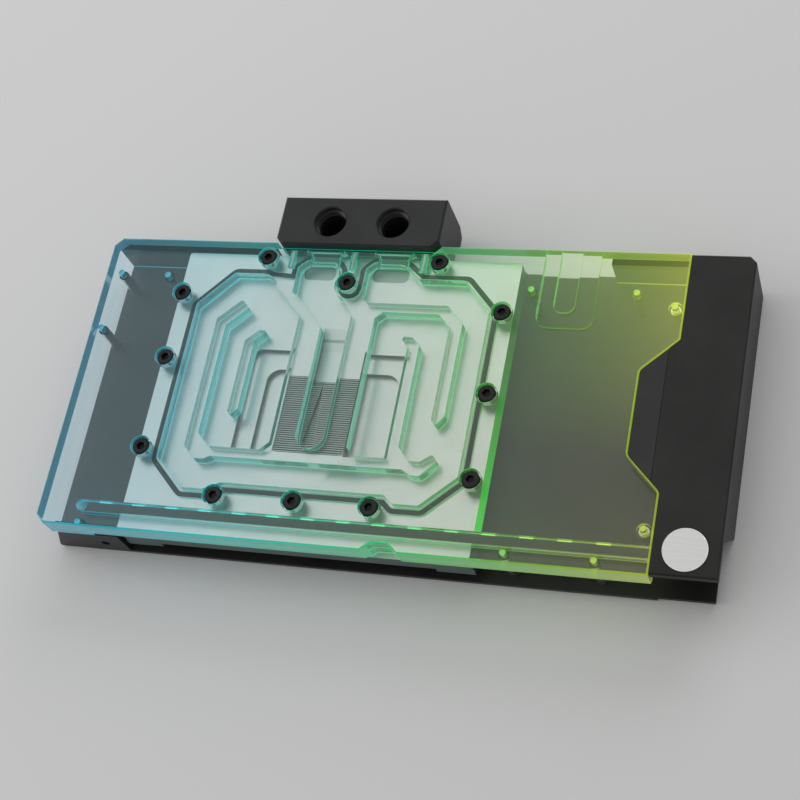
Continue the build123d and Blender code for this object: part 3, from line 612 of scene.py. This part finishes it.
def flat_head_rings(tip, end, head, shank):
    """Rings of a countersunk screw."""
    neck = end - (head - shank)
    rings = shank_rings(tip, neck - THREAD_PITCH, shank)
    return rings + [(neck, shank), (end - 0.1 * MM, head - 0.02 * MM), (end, head - 0.12 * MM)]


def cap_head_rings(tip, seat, end, head, shank):
    """Rings of a screw with a knurled round head."""
    rings = shank_rings(tip, seat - THREAD_PITCH, shank)
    return rings + [
        (seat, shank), (seat, head - RIM_BEVEL), (seat + RIM_BEVEL, head - KNURL_DEPTH),
        (seat + 2 * RIM_BEVEL, knurled(head)), (end - 2 * RIM_BEVEL, knurled(head)),
        (end - RIM_BEVEL, head - KNURL_DEPTH), (end, head - 1.6 * RIM_BEVEL),
    ]


def socket_rings(end, half_width, depth):
    """Rings of a hexagon socket with a bevelled mouth and a drilled bottom."""
    mouth = half_width / math.cos(math.tau / 12) + MOUTH_BEVEL
    return [
        (end, mouth), (end - MOUTH_BEVEL, hexagon(half_width)),
        (end - depth, hexagon(half_width)), (end - depth - DRILL_DEPTH, half_width * DRILL_SHARE),
    ]


def loose_parts(name):
    """Points of each separate solid in a CAD node, in a fixed order."""
    mesh = bmesh.new()
    mesh.from_mesh(frame["nodes"][name].data)
    bmesh.ops.remove_doubles(mesh, verts=mesh.verts, dist=1e-6)
    left, parts = set(mesh.verts), []
    while left:
        front = [left.pop()]
        part = []
        while front:
            vert = front.pop()
            part.append(vert.co.copy())
            for edge in vert.link_edges:
                other = edge.other_vert(vert)
                if other in left:
                    left.discard(other)
                    front.append(other)
        parts.append(part)
    mesh.free()
    return sorted(parts, key=lambda part: [round(low, 5) for low in limits(part)[0]])


def limits(points):
    """Lowest and highest X, Y and Z."""
    return tuple(
        Vector([end(point[axis] for point in points) for axis in range(3)]) for end in (min, max))


def screws(node, axis, half_width, socket_depth, flat_head=False,
           material=BLACK_OXIDE, slot="black_screw"):
    """Turned screws with sockets in the places and sizes of the CAD node's plain ones."""
    mesh = bmesh.new()
    turn = UP.rotation_difference(axis).to_matrix()
    for part in loose_parts(node):
        local = [turn.transposed() @ point for point in part]
        low, high = limits(local)
        centre = (low + high) / 2
        reach = {}
        for point in local:
            radius = math.hypot(point.x - centre.x, point.y - centre.y)
            reach[point.z] = max(reach.get(point.z, 0.0), radius)
        head, shank = max(reach.values()), reach[low.z]
        if flat_head:
            rings = flat_head_rings(low.z, high.z, head, shank)
        else:
            seat = min(height for height, radius in reach.items() if radius > 0.95 * head)
            rings = cap_head_rings(low.z, seat, high.z, head, shank)
        place = Matrix.Translation(turn @ Vector((centre.x, centre.y, 0))) @ turn.to_4x4()
        turned(mesh, place, rings + socket_rings(high.z, half_width, socket_depth))
    finished(mesh, node + "_turned", material, slot, node)


def port_threads():
    """Helical ridges inside the two front ports."""
    mesh = bmesh.new()
    steps = int(PORT_THREAD_LENGTH / PORT_PITCH * PORT_STEPS)
    for mount in frame["record"]["mounts"]:
        if not mount["name"].endswith("_port"):
            continue
        centre = Vector(mount["pos_m"])
        wall = mount["dims"]["r_mm"] * MM + RIDGE_SINK
        sections = []
        for step in range(steps + 1):
            angle = math.tau * step / PORT_STEPS
            fade = min(1.0, step / PORT_STEPS, (steps - step) / PORT_STEPS)
            crest = wall - PORT_THREAD_DEPTH * (RIDGE_LEAST + (1 - RIDGE_LEAST) * fade)
            middle = TERMINAL_TOP - PORT_THREAD_START - PORT_PITCH * step / PORT_STEPS
            section = [
                (wall, RIDGE_FOOT), (crest, RIDGE_CREST), (crest, -RIDGE_CREST), (wall, -RIDGE_FOOT),
            ]
            sections.append([
                mesh.verts.new((
                    centre.x + radius * math.cos(angle), centre.y + radius * math.sin(angle),
                    middle + up * PORT_PITCH,
                ))
                for radius, up in section
            ])
        join(mesh, sections)
        cap(mesh, sections)
    bmesh.ops.recalc_face_normals(mesh, faces=mesh.faces)
    finished(mesh, "port_threads", ACETAL, "black_acetal")


def badge_rim():
    """Polished bevel round the badge."""
    mesh = bmesh.new()
    low, high = (Vector(corner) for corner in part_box("badge"))
    centre, edge = (low + high) / 2, (high.x - low.x) / 2
    loops = []
    for step in range(RIM_SEGMENTS):
        angle = math.tau * step / RIM_SEGMENTS
        loops.append([
            mesh.verts.new((
                centre.x + (edge + out * MM) * math.cos(angle),
                centre.y + (edge + out * MM) * math.sin(angle), high.z + up * MM,
            ))
            for out, up in RIM_SECTION
        ])
    join(mesh, loops, closed=True)
    bmesh.ops.recalc_face_normals(mesh, faces=mesh.faces)
    finished(mesh, "badge_rim", RIM, "bright_aluminium")


def add_camera():
    """The photograph's camera."""
    data = bpy.data.cameras.new("camera")
    data.sensor_width = SENSOR_MM
    data.lens = FOCAL_PIXELS * SENSOR_MM / IMAGE_PIXELS
    camera = bpy.data.objects.new("camera", data)
    back = -CAMERA_FORWARD.normalized()
    up = back.cross(CAMERA_RIGHT).normalized()
    turn = Matrix((up.cross(back), up, back)).transposed().to_4x4()
    camera.matrix_world = Matrix.Translation(CAMERA_PLACE) @ turn
    bpy.context.collection.objects.link(camera)
    bpy.context.scene.camera = camera


def add_lamp(name, place, size, power):
    """A rectangular lamp aimed at the block's middle."""
    data = bpy.data.lights.new(name, "AREA")
    data.shape = "RECTANGLE"
    data.size, data.size_y = size
    data.energy = power
    lamp = bpy.data.objects.new(name, data)
    lamp.location = place
    lamp.rotation_euler = (-Vector(place)).to_track_quat("-Z", "Y").to_euler()
    bpy.context.collection.objects.link(lamp)


def add_stage():
    """Pale floor, soft lamps and an even pale room."""
    bpy.ops.mesh.primitive_plane_add(size=FLOOR_SIZE, location=(0, 0, cad_low[2]))
    floor = bpy.context.object
    floor.name = "floor"
    finish = Shader("pale_floor", Roughness=0.9, Base_Color=FLOOR_COLOUR)
    floor.data.materials.append(finish.material)
    for name, place, size, power in LAMPS:
        add_lamp(name, place, size, power)
    world = bpy.data.worlds.new("soft_room")
    world.use_nodes = True
    background = world.node_tree.nodes["Background"]
    background.inputs["Color"].default_value = ROOM_COLOUR
    background.inputs["Strength"].default_value = ROOM_STRENGTH
    bpy.context.scene.world = world
    bpy.context.scene.view_settings.view_transform = "Standard"


add_camera()
add_stage()
finish_nodes()
screws("clamp_screws", UP, CLAMP_SOCKET, SOCKET_DEPTH)
screws("terminal_screws", BACK, TERMINAL_SOCKET, SOCKET_DEPTH,
       material=PLATED_STEEL, slot="nickel_brass")
screws("backplate_screws", -UP, FINE_SOCKET, FINE_SOCKET_DEPTH, flat_head=True, material=LIT_SCREW)
for hidden_screws in ("end_cover_screws", "core_screws"):
    screws(hidden_screws, -UP, FINE_SOCKET, FINE_SOCKET_DEPTH, flat_head=True)
port_threads()
badge_rim()
